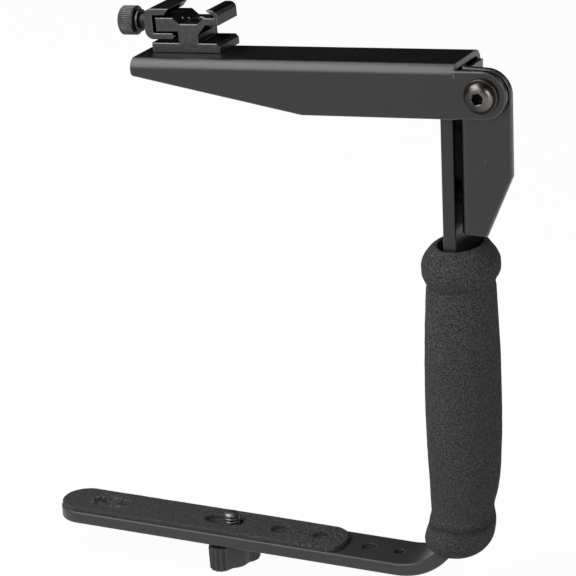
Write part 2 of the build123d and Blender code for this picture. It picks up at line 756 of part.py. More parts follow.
# The countersunk screw in the trough's floor
mount_axis = Axis(shoe.from_local_coords((0, clamp_y, 0)), shoe.z_dir)
mount_top = trough_floor - mount_head_drop
mount_tip = -sheet - mount_nut_height - mount_tip_out
with BuildPart() as shoe_mount_screw:
    with BuildSketch(Plane(origin=shoe.from_local_coords((0, clamp_y, 0)),
                           x_dir=shoe.x_dir, z_dir=-shoe.y_dir)):
        with BuildLine():
            Polyline(
                (0, mount_tip), (mount_screw_r, mount_tip),
                (mount_screw_r, mount_top - mount_head_height), (mount_head_r, mount_top),
                (0, mount_top), close=True,
            )
        make_face()
    revolve(axis=mount_axis)
    with BuildSketch(level(shoe, mount_top)):
        with Locations((0, clamp_y)):
            RegularPolygon(mount_socket_r, 6)
    extrude(amount=-mount_socket_depth, mode=Mode.SUBTRACT)
shoe_mount_screw.part.label = "shoe_mount_screw"
export_step(shoe_mount_screw.part, "parts/shoe_mount_screw.step")

# Its nut under the arm's web
with BuildPart() as shoe_mount_nut:
    with BuildSketch(level(shoe, -sheet)):
        with Locations((0, clamp_y)):
            RegularPolygon(mount_nut_flats / 2, 6, major_radius=False)
            Circle(mount_screw_r + screw_fit, mode=Mode.SUBTRACT)
    extrude(amount=-mount_nut_height)
shoe_mount_nut.part.label = "shoe_mount_nut"
export_step(shoe_mount_nut.part, "parts/shoe_mount_nut.step")

print("pivot", pivot.X, pivot.Z)
print("arm frame height", arm_z)
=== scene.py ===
from collections import namedtuple
from math import cos, pi, radians, sin, sqrt, tau

import bmesh
import bpy
from mathutils import Matrix, Vector, noise


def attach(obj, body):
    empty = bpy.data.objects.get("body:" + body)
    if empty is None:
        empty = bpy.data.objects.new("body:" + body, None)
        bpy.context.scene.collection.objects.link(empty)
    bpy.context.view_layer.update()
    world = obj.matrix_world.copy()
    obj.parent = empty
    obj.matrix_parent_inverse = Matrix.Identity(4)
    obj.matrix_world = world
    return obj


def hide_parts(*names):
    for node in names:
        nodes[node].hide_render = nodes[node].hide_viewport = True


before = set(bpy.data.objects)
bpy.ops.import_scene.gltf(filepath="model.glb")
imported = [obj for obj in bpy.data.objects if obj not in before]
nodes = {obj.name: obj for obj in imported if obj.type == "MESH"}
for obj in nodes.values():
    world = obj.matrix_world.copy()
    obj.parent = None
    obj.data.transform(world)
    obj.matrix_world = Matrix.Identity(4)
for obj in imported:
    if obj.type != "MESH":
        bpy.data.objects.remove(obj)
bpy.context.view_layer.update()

# Sizes and places are in millimetres, and MM brings them to Blender's metres. The lamps are in metres.

MM = 0.001
RIGHT, FAR, UP, TOWARD = Vector((1, 0, 0)), Vector((0, 1, 0)), Vector((0, 0, 1)), Vector((0, -1, 0))


# Camera: it stands where the photograph was taken from

CAMERA_PLACE = Vector((380.63, -848.43, 453.05))
CAMERA_AZIMUTH, CAMERA_PITCH, CAMERA_ROLL = radians(25.865), radians(19.861), radians(-2.705)
CAMERA_LENS, CAMERA_SENSOR = 159.536, 36.0


def add_camera():
    """Adds the camera and makes it the scene's own."""
    level_ahead = FAR * cos(CAMERA_AZIMUTH) - RIGHT * sin(CAMERA_AZIMUTH)
    ahead = level_ahead * cos(CAMERA_PITCH) - UP * sin(CAMERA_PITCH)
    level_right = ahead.cross(UP).normalized()
    level_up = level_right.cross(ahead)
    camera_right = level_right * cos(CAMERA_ROLL) + level_up * sin(CAMERA_ROLL)
    camera_up = level_up * cos(CAMERA_ROLL) - level_right * sin(CAMERA_ROLL)
    settings = bpy.data.cameras.new("camera")
    settings.sensor_width, settings.lens = CAMERA_SENSOR, CAMERA_LENS
    settings.clip_start, settings.clip_end = 0.05, 50.0
    camera = bpy.data.objects.new("camera", settings)
    bpy.context.scene.collection.objects.link(camera)
    camera.matrix_world = Matrix.Translation(CAMERA_PLACE * MM) @ Matrix(
        (camera_right, camera_up, -ahead)).transposed().to_4x4()
    bpy.context.scene.camera = camera


add_camera()


# Places and sizes that the finishes and the pieces share

Slot = namedtuple("Slot", "middle length width")
UPRIGHT_LEFT, BAR_THICK = 39.7, 5.2
UPRIGHT_RIGHT = UPRIGHT_LEFT + BAR_THICK
HOLES_LEFT, HOLES_RIGHT, HOLES_REACH = -135.0, -4.0, 3.7
FAR_SLOT = Slot(-117.6, 16.6, 7.0)
SCREW_X, SCREW_TOP, SCREW_R = -61.2, 10.9, 3.175
PIVOT, HEAD_TIP, SOCKET_R = Vector((57.36, 0.0, 201.0134)), 18.5, 2.29


# The arm's own frame, which leans at rest: along it from the upright's left, up from its web's top

SAG = radians(3.0)
ARM_START = Vector((UPRIGHT_LEFT, 0, 211.3032))
ARM_ALONG, ARM_UP = Vector((cos(SAG), 0, sin(SAG))), Vector((-sin(SAG), 0, cos(SAG)))


def on_arm(along, across, up):
    return ARM_START + ARM_ALONG * along + FAR * across + ARM_UP * up


SHOE_Y = 5.35
CLAMP_AXIS = on_arm(0, SHOE_Y, 10.7)


# Materials

class Value:
    """A shader socket that takes part in sums, so that a finish reads as a formula."""

    def __init__(self, finish, socket):
        self.finish, self.socket = finish, socket

    def maths(self, operation, first, second=None):
        sockets = {0: first} if second is None else {0: first, 1: second}
        return self.finish.node("ShaderNodeMath", {"operation": operation}, sockets)

    def __add__(self, other):
        return self.maths("ADD", self, other)

    def __radd__(self, other):
        return self.maths("ADD", other, self)

    def __sub__(self, other):
        return self.maths("SUBTRACT", self, other)

    def __rsub__(self, other):
        return self.maths("SUBTRACT", other, self)

    def __mul__(self, other):
        return self.maths("MULTIPLY", self, other)

    def __rmul__(self, other):
        return self.maths("MULTIPLY", other, self)

    def __pow__(self, other):
        return self.maths("POWER", self, other)

    def abs(self):
        return self.maths("ABSOLUTE", self)

    def sine(self):
        return self.maths("SINE", self)

    def root(self):
        return self.maths("SQRT", self)

    def most(self, other):
        return self.maths("MAXIMUM", self, other)

    def between(self, low, high):
        """0 at low and beyond, 1 at high and beyond, and even in between. Low may be the larger."""
        settings = {"interpolation_type": "LINEAR", "clamp": True}
        sockets = {"Value": self, "From Min": low, "From Max": high, "To Min": 0.0, "To Max": 1.0}
        return self.finish.node("ShaderNodeMapRange", settings, sockets)


def pick(sockets, key):
    """One of a node's sockets, by its number, its identifier or its name."""
    if isinstance(key, int):
        return sockets[key]
    return next((s for s in sockets if s.identifier == key), None) or sockets[key]


class Finish:
    """One material, or the world: its shader and the nodes that feed it."""

    def __init__(self, name, kind=bpy.data.materials, shader="Principled BSDF", **constants):
        self.material = kind.new(name)
        self.material.use_nodes = True
        self.tree = self.material.node_tree
        self.shader = self.tree.nodes[shader]
        self.feed(**constants)

    def plug(self, node, key, value):
        """Links a value to a node's input, or sets the input to a number, a vector or a colour."""
        if isinstance(value, Value):
            self.tree.links.new(value.socket, pick(node.inputs, key))
        else:
            pick(node.inputs, key).default_value = value

    def node(self, kind, settings=None, sockets=None, out=0):
        """Adds a node with its settings and its sockets' values or links, and gives one output."""
        made = self.tree.nodes.new(kind)
        for key, value in (settings or {}).items():
            setattr(made, key, value)
        for key, value in (sockets or {}).items():
            self.plug(made, key, value)
        return Value(self, pick(made.outputs, out))

    def vectors(self, operation, first, second=(0, 0, 0), out="Vector"):
        return self.node("ShaderNodeVectorMath", {"operation": operation}, {0: first, 1: second}, out)

    def feed(self, **sockets):
        """Sets or links sockets of the shader, whose names have underscores here for spaces."""
        for key, value in sockets.items():
            self.plug(self.shader, key.replace("_", " "), value)

    def place(self):
        """The place on the part, in millimetres."""
        return self.vectors("MULTIPLY", self.node("ShaderNodeTexCoord", out="Object"), (1 / MM,) * 3)

    def axes(self, vector):
        return [self.node("ShaderNodeSeparateXYZ", {}, {0: vector}, letter) for letter in "XYZ"]

    def stretched(self, vector, scale):
        return self.vectors("MULTIPLY", vector, scale)

    def from_axis(self, vector, centre, along):
        """Distance of a place from the line through the centre."""
        flat = self.vectors("CROSS_PRODUCT", self.vectors("SUBTRACT", vector, centre), along)
        return self.vectors("LENGTH", flat, out="Value")

    def grain(self, vector, size, detail=2.0, rough=0.5):
        """Cloudy noise from 0 to 1 whose features are about as large as size."""
        return self.node("ShaderNodeTexNoise", {"noise_dimensions": "3D"},
                         {"Vector": vector, "Scale": 1 / size, "Detail": detail, "Roughness": rough}, "Fac")

    def cells(self, vector, size):
        """Distance from the middles of scattered cells, as a share of size."""
        return self.node("ShaderNodeTexVoronoi", {"voronoi_dimensions": "3D", "feature": "F1"},
                         {"Vector": vector, "Scale": 1 / size}, "Distance")

    def mix(self, share, first, second):
        return self.node("ShaderNodeMix", {"data_type": "RGBA", "clamp_factor": True},
                         {"Factor_Float": share, "A_Color": first, "B_Color": second}, "Result_Color")

    def rounded(self, radius):
        """The surface's normal, as if its edges were rounded."""
        return self.node("ShaderNodeBevel", {"samples": 6}, {"Radius": radius * MM})

    def edges(self, radius, gain):
        """1 along edges, fading to 0 within the radius."""
        flat = self.node("ShaderNodeNewGeometry", out="Normal")
        alike = self.vectors("DOT_PRODUCT", self.rounded(radius), flat, "Value")
        return ((1.0 - alike) * gain).between(0.0, 1.0)

    def relief(self, height, depth, under=None):
        """A bump of the given depth, over a rounded normal where one is given."""
        sockets = {"Strength": 1.0, "Distance": depth * MM, "Height": height}
        if under is not None:
            sockets["Normal"] = under
        return self.node("ShaderNodeBump", {}, sockets)


def grey(level, warm=0.0):
    return (level * (1 + warm), level, level * (1 - warm), 1.0)


def powder_coat(name, shade, shine, rough, bevel, is_bar=False):
    """Satin black powder coat: orange peel, clouds of gloss, a few pale specks and pale edges, partly worn
    and partly a painted highlight. On the bar the painted edge highlight is mostly in front, the upright is
    painted darker upwards as shade, the walls of its slots and holes are painted paler as light, and a
    painted shade makes it black between the upright and the bracket."""
    f = Finish(name, Specular_IOR_Level=shine)
    here = f.place()
    x, y, z = f.axes(here)
    peel = f.grain(here, 0.9)
    cloud = f.grain(here, 30.0, 3.0)
    speck = f.grain(here, 1.6, 1.0).between(0.76, 0.80)
    scuff = f.grain(f.stretched(here, (1.0, 3.0, 9.0)), 9.0, 4.0).between(0.60, 0.78)
    # Pale edges: partly worn, partly a painted highlight along them.
    worn_and_highlit_edges = f.edges(bevel, 5.0)
    body = f.mix(cloud, grey(shade * 0.90), grey(shade * 1.12))
    if is_bar:
        # On the bar the painted edge highlight is kept mostly to the front edges.
        worn_and_highlit_edges = worn_and_highlit_edges * (y.between(6.0, -6.0) * 0.9 + 0.1)
        # The upright is painted darker towards its top, as shade.
        body = f.mix(z.between(30.0, 150.0) * 0.5, body, grey(shade * 0.3))
    colour = f.mix(speck * 0.30 + scuff * 0.03, body, grey(0.12))
    if is_bar:
        # Paler walls in the slots and holes are painted light, as if lit inside.
        among_holes = x.between(HOLES_LEFT, HOLES_LEFT + 1.0) * x.between(HOLES_RIGHT, HOLES_RIGHT - 2.0)
        walls = y.abs().between(HOLES_REACH, HOLES_REACH - 0.3) * among_holes
        walls = walls * z.between(0.3, 0.6) * z.between(BAR_THICK - 0.1, BAR_THICK - 0.3)
        colour = f.mix(walls * (0.5 + peel * 0.5), colour, grey(0.11))
        # Painted shade: the upright's right face behind the bracket is made black and metallic.
        painted_gap_shade = x.between(UPRIGHT_RIGHT - 0.4, UPRIGHT_RIGHT - 0.1) * z.between(138.0, 146.0)
        colour = f.mix(painted_gap_shade, colour, grey(0.001))
        f.feed(Metallic=painted_gap_shade)
    f.feed(Base_Color=f.mix(worn_and_highlit_edges * 0.9, colour, grey(0.30)),
           Roughness=rough + cloud * 0.08 + scuff * 0.06 - worn_and_highlit_edges * 0.05,
           Normal=f.relief(peel, 0.022, f.rounded(bevel)))
    return f.material


def open_foam(name):
    """Open grained foam rubber: dark pits between pale cell walls, sharpest near the grip's rim and
    toe, with painted shade in a crease at the toe and in another below the rim."""
    f = Finish(name, Specular_IOR_Level=0.08)
    here = f.place()
    height = f.axes(here)[2]
    pits = f.cells(here, 0.50)
    fine = f.grain(here, 0.28, 3.0, 0.7)
    cloud = f.grain(here, 12.0, 4.0, 0.6)
    coarse = height.between(80.0, 118.0) + height.between(34.0, 27.0) * 0.4
    spread = 0.28 - coarse * 0.20
    pale = (pits * 0.8 + fine * 0.9).between(0.80 - spread, 0.80 + spread)
    base = f.mix(pale, grey(0.008), grey(0.077))
    wandering = height + f.grain(here, 9.0) * 4.0
    # Painted shade in the creases at the toe and below the rim.
    toe_crease_shade = (1.0 - (wandering - 26.5).abs().between(0.0, 2.2)) * 0.58
    rim_crease_shade = (1.0 - (wandering - 126.5).abs().between(0.0, 1.0)) * 0.40
    base = f.mix(toe_crease_shade + rim_crease_shade, base, grey(0.012))
    f.feed(Base_Color=f.mix(cloud.between(0.35, 0.75) * 0.2, base, grey(0.034)),
           Roughness=0.90 + fine * 0.10,
           Normal=f.relief(pits * 0.6 + fine * 0.6, 0.10))
    return f.material


def grained_pad(name):
    """Thin rubber pad with a fine raised grain, sharper towards its right end, and a torn edge round
    its far slot that is painted pale as glints and light on it."""
    f = Finish(name, Specular_IOR_Level=0.35)
    here = f.place()
    x, y, z = f.axes(here)
    beads = f.cells(here, 0.62)
    fine = f.grain(here, 0.5, 2.0, 0.6)
    cloud = f.grain(here, 18.0, 3.0)
    nubs = f.grain(f.stretched(here, (1.0, 0.42, 1.0)), 0.55, 2.0, 0.6)
    spread = 0.24 - x.between(-85.0, -30.0) * 0.20
    pale = (beads * 0.3 + fine * 0.3 + nubs * 0.8).between(0.69 - spread, 0.69 + spread)
    base = f.mix(pale, grey(0.007), grey(0.057))
    base = f.mix(cloud.between(0.4, 0.7) * 0.4, base, grey(0.026))
    past = (x - FAR_SLOT.middle).abs() - (FAR_SLOT.length - FAR_SLOT.width) / 2
    from_rim = (past.most(0.0) ** 2 + y ** 2).root() - FAR_SLOT.width / 2
    # The torn edge round the far slot is painted pale, as glints and light on it.
    torn = from_rim.between(1.4, 0.4) * f.grain(here, 1.1).between(0.50, 0.64)
    f.feed(Base_Color=f.mix(torn * 0.7, base, grey(0.16)),
           Roughness=0.62 + fine * 0.2 - torn * 0.25,
           Normal=f.relief(beads * 0.7 + fine * 0.7, 0.20))
    return f.material


def steel(name, shade, warm, rough, bevel, turned=False, threaded=False):
    """Bare or plated steel, with pale edges that are partly worn and partly a painted highlight. Turned
    steel has turning marks round the pivot, is painted paler and warmer to the upper right as a highlight
    and darker to the lower left as shade, and the pivot bolt's socket is painted black as shade. The
    threaded stud has painted shade in its roots and painted highlights on its crests and top."""
    f = Finish(name, Metallic=1.0)
    here = f.place()
    x, y, z = f.axes(here)
    cloud = f.grain(here, 4.0, 3.0)
    smear = f.grain(here, 1.2)
    # Pale edges: partly worn, partly a painted highlight along them.
    worn_and_highlit_edges = f.edges(bevel, 4.0)
    body = f.mix(cloud, grey(shade * 0.82, warm), grey(shade * 1.1, warm))
    marks = smear * 0.4
    if turned:
        radius = f.from_axis(here, PIVOT, FAR)
        marks = marks + (radius * (tau / 0.22)).sine() * 0.3
        # Painted light: paler and warmer to the upper right as a highlight, darker to the lower left as
        # shade.
        painted_highlight_rightward = (x + (z - PIVOT.z) * 0.7 + smear * 3.0).between(PIVOT.x - 4.0, PIVOT.x + 8.0)
        body = f.mix(painted_highlight_rightward, grey(shade * 0.30), grey(shade * 2.9, 0.06))
    colour = f.mix(worn_and_highlit_edges * 0.5, body, grey(0.35, warm))
    if turned:
        # The socket's walls are painted black as shade.
        in_socket = radius.between(SOCKET_R + 0.11, SOCKET_R + 0.06)
        deep = y.between(0.3 - HEAD_TIP, 0.6 - HEAD_TIP) * in_socket
        colour = f.mix(deep, colour, grey(0.004))
    if threaded:
        # Painted shade in the thread's roots and painted highlights on its crests and top.
        crest = f.from_axis(here, (SCREW_X, 0, 0), UP).between(SCREW_R - 0.555, SCREW_R - 0.055)
        crest = crest.most(z.between(SCREW_TOP - 0.7, SCREW_TOP - 0.5))
        colour = f.mix(crest, grey(shade * 0.12), f.mix(cloud, grey(shade * 1.2), grey(shade * 1.8)))
    f.feed(Base_Color=colour, Roughness=rough + smear * 0.14 - worn_and_highlit_edges * 0.06,
           Normal=f.relief(marks, 0.012, f.rounded(bevel)))
    return f.material


def anodised(name, shade, rough, bevel, lines, shaded_core_r=None, painted_glints=()):
    """Black anodised aluminium with the fine lines of its extrusion or turning, and pale edges that are
    partly worn and partly a painted highlight.
    Within a small radius round the clamp's axis it is painted darker as shade, and pale spots are painted on
    as glints."""
    f = Finish(name, Metallic=1.0, Specular_Tint=grey(0.6))
    here = f.place()
    drawn = f.grain(f.stretched(here, lines), 0.35)
    cloud = f.grain(here, 1.6, 3.0).between(0.3, 0.7)
    fine = f.grain(here, 0.4)
    # Pale edges: partly worn, partly a painted highlight along them.
    worn_and_highlit_edges = f.edges(bevel, 5.0)
    colour = f.mix(worn_and_highlit_edges * 0.75, f.mix(cloud, grey(shade * 0.80), grey(shade * 1.22)), grey(0.42))
    # Painted shade within a small radius round the clamp's axis, over the neck behind the ring.
    if shaded_core_r is not None:
        painted_core_shade = f.from_axis(here, CLAMP_AXIS, ARM_ALONG).between(shaded_core_r, shaded_core_r - 0.2)
        colour = f.mix(painted_core_shade, colour, grey(0.030))
    # Pale spots painted on as glints.
    glint_share = 0.0
    for glint_spot in painted_glints:
        glint_share = f.vectors("DISTANCE", here, glint_spot, "Value").between(0.60, 0.38) + glint_share
    if painted_glints:
        colour = f.mix(glint_share, colour, grey(0.95))
    f.feed(Base_Color=colour, Roughness=rough + fine * 0.12 - worn_and_highlit_edges * 0.08 + glint_share * 0.3,
           Normal=f.relief(drawn * 0.8 + fine * 0.5, 0.030, f.rounded(bevel)))
    return f.material


def moulded(name, shade, rough, bevel):
    """Moulded black plastic with a fine spark grain, and pale edges that are partly worn and partly a
    painted highlight.
    """
    f = Finish(name, Specular_IOR_Level=0.45)
    here = f.place()
    spark = f.grain(here, 0.35, 2.0, 0.6)
    cloud = f.grain(here, 6.0, 3.0)
    # Pale edges: partly worn, partly a painted highlight along them.
    worn_and_highlit_edges = f.edges(bevel, 5.0)
    body = f.mix(cloud, grey(shade * 0.85), grey(shade * 1.15))
    f.feed(Base_Color=f.mix(worn_and_highlit_edges * 0.5, body, grey(0.12)),
           Roughness=rough + spark * 0.15,
           Normal=f.relief(spark, 0.03, f.rounded(bevel)))
    return f.material


bar_coat = powder_coat("bar_powder_coat", shade=0.031, shine=0.39, rough=0.33, bevel=0.4, is_bar=True)
sheet_coat = powder_coat("sheet_powder_coat", shade=0.003, shine=0.66, rough=0.29, bevel=0.5)
foam = open_foam("grip_foam")
pad_rubber = grained_pad("pad_rubber")
bolt_steel = steel("bolt_satin_steel", shade=0.066, warm=0.04, rough=0.24, bevel=0.15, turned=True)
stud_steel = steel("stud_satin_steel", shade=0.15, warm=0.01, rough=0.32, bevel=0.10, threaded=True)
plated = steel("zinc_plated_steel", shade=0.50, warm=0.01, rough=0.34, bevel=0.15)
dark_steel = steel("blackened_steel", shade=0.020, warm=0.0, rough=0.30, bevel=0.35, turned=True)
slip_nylon = moulded("black_nylon", shade=0.010, rough=0.42, bevel=0.15)
knob_plastic = moulded("knob_plastic", shade=0.031, rough=0.36, bevel=0.3)
# The block and jaw get two pale spots in the trough, painted as glints.
block_metal = anodised("extruded_black_aluminium", shade=0.074, rough=0.27, bevel=0.30,
                       lines=(1.0, 0.05, 1.0),
                       painted_glints=(on_arm(-110.9, 2.6, 12.6), on_arm(-109.9, 5.9, 11.8)))
# Its knob is painted darker round the clamp's axis, as shade.
turned_metal = anodised("turned_black_aluminium", shade=0.070, rough=0.34, bevel=0.12,
                        lines=(0.1, 1.0, 1.0), shaded_core_r=3.6)

finishes = {
    "l_bar": bar_coat, "pivot_bracket": sheet_coat, "flip_arm": sheet_coat,
    "bracket_spacers": plated, "pivot_head_washer": dark_steel,
    "pivot_friction_washer": slip_nylon, "pivot_back_washer": plated,
    "camera_screw_washer": slip_nylon, "shoe_block": block_metal, "shoe_jaw": block_metal,
    "shoe_mount_nut": plated,
}
for node_name, material in finishes.items():
    mesh = nodes[node_name].data
    mesh.materials.clear()
    mesh.materials.append(material)


# Mesh helpers

def add(name, data):
    item = bpy.data.objects.new(name, data)
    bpy.context.scene.collection.objects.link(item)
    return item


def mesh_piece(name, points, faces, material, crease=35.0):
    """A mesh, shaded smooth but for edges sharper than the crease angle."""
    mesh = bpy.data.meshes.new(name)
    mesh.from_pydata([tuple(p * MM) for p in points], [], faces)
    form = bmesh.new()
    form.from_mesh(mesh)
    bmesh.ops.recalc_face_normals(form, faces=form.faces)
    form.to_mesh(mesh)
    form.free()
    mesh.shade_smooth()
    mesh.set_sharp_from_angle(angle=radians(crease))
    mesh.materials.append(material)
    return add(name, mesh)


def skin(name, bodies, material, crease, looped=False):
    """One mesh of several skins, each a list of rings of equal count. A skin is closed by a face at
    each end, or a looped one by faces from its last ring to its first, as round a bore."""
    points, faces = [], []
    for rings in bodies:
        start, count, total = len(points), len(rings[0]), len(rings)
        points += [p for ring in rings for p in ring]
        for i in range(total if looped else total - 1):
            low, high = start + i * count, start + (i + 1) % total * count
            for k in range(count):
                after = (k + 1) % count
                faces.append((low + k, low + after, high + after, high + k))
        if not looped:
            last = start + (total - 1) * count
            faces.append(tuple(range(start, start + count)))
            faces.append(tuple(range(last, last + count)))
    return mesh_piece(name, points, faces, material, crease)


# The radius of a skin's end ring where the piece has no bore, and a thread's rows in a turn and slope

TIP, THREAD_ROWS, THREAD_SLOPE = 0.02, 12, 1.35


def lathe(origin, along, side, rows, segments=72):
    """Rings round an axis. A row is (distance along, radius), where the radius may follow the angle."""
    across = along.cross(side)
    rings = []
    for distance, radius in rows:
        ring = []
        for k in range(segments):
            turn = tau * k / segments
            reach = radius(turn) if callable(radius) else radius
            away = side * (reach * cos(turn)) + across * (reach * sin(turn))
            ring.append(origin + along * distance + away)
        rings.append(ring)
    return rings


def dome(tip, rim, flat_r, rim_r, steps):
    """Rows of a button head, from its flat top down to its rim."""
    rows = []
    for step in range(1, steps + 1):
        lean = pi / 2 * step / steps
        rows.append((tip - (tip - rim) * (1 - cos(lean)), flat_r + (rim_r - flat_r) * sin(lean)))
    return rows


def hexagon(corner, turn_by=0.0):
    """Radius of a hexagon as its angle turns."""
    def reach(turn):
        part = (turn - turn_by) % (pi / 3) - pi / 6
        return corner * cos(pi / 6) / cos(part)
    return reach


def within(shape, limit):
    return lambda turn: min(shape(turn), limit)


def thread(start, end, outer, pitch, depth, taper=0.8):
    """Rows of a helical thread, which fades in and out over the taper."""
    steps = max(2, round((end - start) / pitch * THREAD_ROWS))
    rows = []
    for i in range(steps + 1):
        at = start + (end - start) * i / steps
        fade = min(1.0, (at - start) / taper, (end - at) / taper)

        def reach(turn, at=at, fade=fade):
            phase = (at / pitch - turn / tau) % 1.0
            crest = min(1.0, THREAD_SLOPE * abs(2 * phase - 1))
            return outer - depth * max(0.0, fade) * (1 - crest)
        rows.append((at, reach))
    return rows


def other_way(rows):
    """The same rows with their distances along the axis turned round."""
    return [(-at, radius) for at, radius in rows]


def smooth_through(marks, values):
    """A smooth curve through values at rising marks."""
    count = len(marks)
    slopes = [(values[i + 1] - values[i]) / (marks[i + 1] - marks[i]) for i in range(count - 1)]
    tangents = [slopes[0]]
    for i in range(1, count - 1):
        left, right = slopes[i - 1], slopes[i]
        tangents.append(0.0 if left * right <= 0 else 2 * left * right / (left + right))
    tangents.append(slopes[-1])

    def value(at):
        i = next((j for j in range(count - 2) if at < marks[j + 1]), count - 2)
        span = marks[i + 1] - marks[i]
        t = min(1.0, max(0.0, (at - marks[i]) / span))
        risen = 3 * t ** 2 - 2 * t ** 3
        level = (1 - risen) * values[i] + risen * values[i + 1]
        return level + span * ((t ** 3 - 2 * t ** 2 + t) * tangents[i] + (t ** 3 - t ** 2) * tangents[i + 1])
    return value


def carry(piece, body, stood_for):
    """Lets a piece ride on a body, in place of the node that it stands for."""
    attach(piece, body)
    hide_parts(stood_for)
    return piece


# Foam grip: the sections of the tube from its toe in the bend up to the rim

BEND_X, BEND_Z, PATH_R = 15.7, 29.2, 26.6
WALL_Y, BORE_X, BORE_Y, MOUTH_X, MOUTH_Y, MOUTH_DEPTH = 2.8, 7.2, 11.9, 7.8, 12.5, 1.6
RIM_X, RIM_Y, GRIP_TOP = 9.1, 13.4, 139.2
SWELL_FROM, SWELL_OVER, SWELL = 137.5, 1.5, 1.6
CLOSER_FROM, RING_STEP, CLOSER_STEP = 134.0, 0.75, 0.35

# At each turn round the bend, in degrees, and at each height on the upright: the section's lean, half
# width and shift to the left

toe_turns = (39.5, 36.5, 31.0, 23.0, 12.0)
toe_tilts = (15.0, 15.0, 14.0, 12.0, 7.0)
toe_halves = (8.7, 10.7, 12.1, 12.8, 12.75)
toe_shifts = (0.7, 0.8, 0.5, 0.45, 0.9)
stem_heights = (29.2, 36.8, 43.2, 49.7, 62.2, 75.2, 87.2, 104.0, 115.2, 121.4, 123.2,
                125.2, 128.2, 131.4, 134.3, 136.5, 138.1, 139.0)
stem_halves = (11.95, 12.85, 13.4, 13.8, 14.3, 14.45, 14.3, 13.85, 13.3, 13.0, 12.65,
               13.5, 14.75, 14.8, 13.85, 12.3, 10.9, 9.6)
stem_shifts = (1.3, 0.5, 0.1) + (0.0,) * 9 + (-0.2,) * 6
run_marks = [-radians(a) * PATH_R for a in toe_turns] + [h - BEND_Z for h in stem_heights]
grip_half = smooth_through(run_marks, toe_halves + stem_halves)
grip_tilt = smooth_through(run_marks, toe_tilts + (0.0,) * len(stem_heights))
grip_shift = smooth_through(run_marks, toe_shifts + stem_shifts)


def grip_ring(run, half_x, half_y, shift=0.0, segments=144):
    """An oval ring of the grip at a distance along the upright from the end of the bend."""
    tilt = radians(grip_tilt(run))
    turn = max(0.0, -run / PATH_R)
    centre = Vector((BEND_X + PATH_R * cos(turn) - shift, 0, BEND_Z - PATH_R * sin(turn) + max(0.0, run)))
    sideways = Vector((cos(tilt), 0, -sin(tilt)))
    angles = [tau * k / segments for k in range(segments)]
    return [centre + sideways * (half_x * cos(a)) + FAR * (half_y * sin(a)) for a in angles]


def foam_ring(run, half_x, half_y, unevenness=1.0):
    """A ring of the grip's outside, moved a little, as open foam is never quite even."""
    ring = grip_ring(run, half_x, half_y, grip_shift(run))
    middle = sum(ring, Vector()) / len(ring)
    uneven = []
    for p in ring:
        swell = 0.16 * noise.noise(p / 14.0) + 0.07 * noise.noise(p / 2.6) + 0.05 * noise.noise(p / 0.9)
        uneven.append(p + (p - middle).normalized() * swell * unevenness)
    return uneven


def grip_rings():
    """The grip's rings: up its outside, over the rim and down through its bore."""
    rings = []
    run, top_run = run_marks[0], GRIP_TOP - BEND_Z
    while run < run_marks[-1]:
        half = grip_half(run)
        end_swell = SWELL * min(1.0, max(0.0, (run - (SWELL_FROM - BEND_Z)) / SWELL_OVER))
        rings.append(foam_ring(run, half, half + WALL_Y + end_swell))
        run += RING_STEP if run < CLOSER_FROM - BEND_Z else CLOSER_STEP
    for share, drop in ((0.0, 0.10), (0.35, -0.05), (0.7, 0.0), (1.0, 0.35)):
        wide, deep = RIM_X + (MOUTH_X - RIM_X) * share, RIM_Y + (MOUTH_Y - RIM_Y) * share
        rings.append(foam_ring(top_run - drop, wide, deep, 0.6))
    bore_runs = [top_run - MOUTH_DEPTH, 0.0] + [-radians(a) * PATH_R for a in reversed(toe_turns[1:])]
    rings += [grip_ring(bore_run, BORE_X, BORE_Y) for bore_run in bore_runs]
    rings.append(grip_ring(run_marks[0], MOUTH_X, BORE_Y))
    return rings


grip = skin("grip_sleeve", [grip_rings()], foam, crease=70.0, looped=True)
carry(grip, "frame", "foam_grip")


# Pad: a curve with holes, thickened, remeshed finely and given an uneven skin

PAD_LOW, PAD_HIGH, PAD_LEFT, PAD_RIGHT, PAD_WIDTH = 4.6, 7.0, -139.9, -9.5, 20.3
PAD_ROUND, PAD_FACE = 0.42, 0.5
SCREW_SLOT, LARGE_HOLE, SMALL_HOLE = Slot(-64.9, 16.6, 7.0), Slot(-39.2, 7.2, 7.2), Slot(-21.0, 6.7, 6.7)
LIFTED_CORNER = Vector((PAD_RIGHT - 0.5, -9.0, 0))


def stadium(slot, count=96, worn=0.12, blunt=1.0):
    """Points of a round ended outline along X, with a worn wandering edge.
    A blunt share below 1 squares off the front corner of the right end."""
    straight, radius = (slot.length - slot.width) / 2, slot.width / 2
    points = []
    for k in range(count):
        turn = tau * k / count
        x, y = cos(turn), sin(turn)
        side = 1 if x >= 0 else -1
        along = side * straight * min(1.0, 8 * abs(x))
        at = Vector((x * 2 + along / 3, y * 2, slot.middle))
        grow = worn * (noise.noise(at) + 0.6 * noise.noise(at * 3.1))
        if x > 0 > y:
            x, y = x ** blunt, -(-y) ** blunt
        points.append((slot.middle + along + (radius + grow) * x, (radius + grow) * y))
    return points


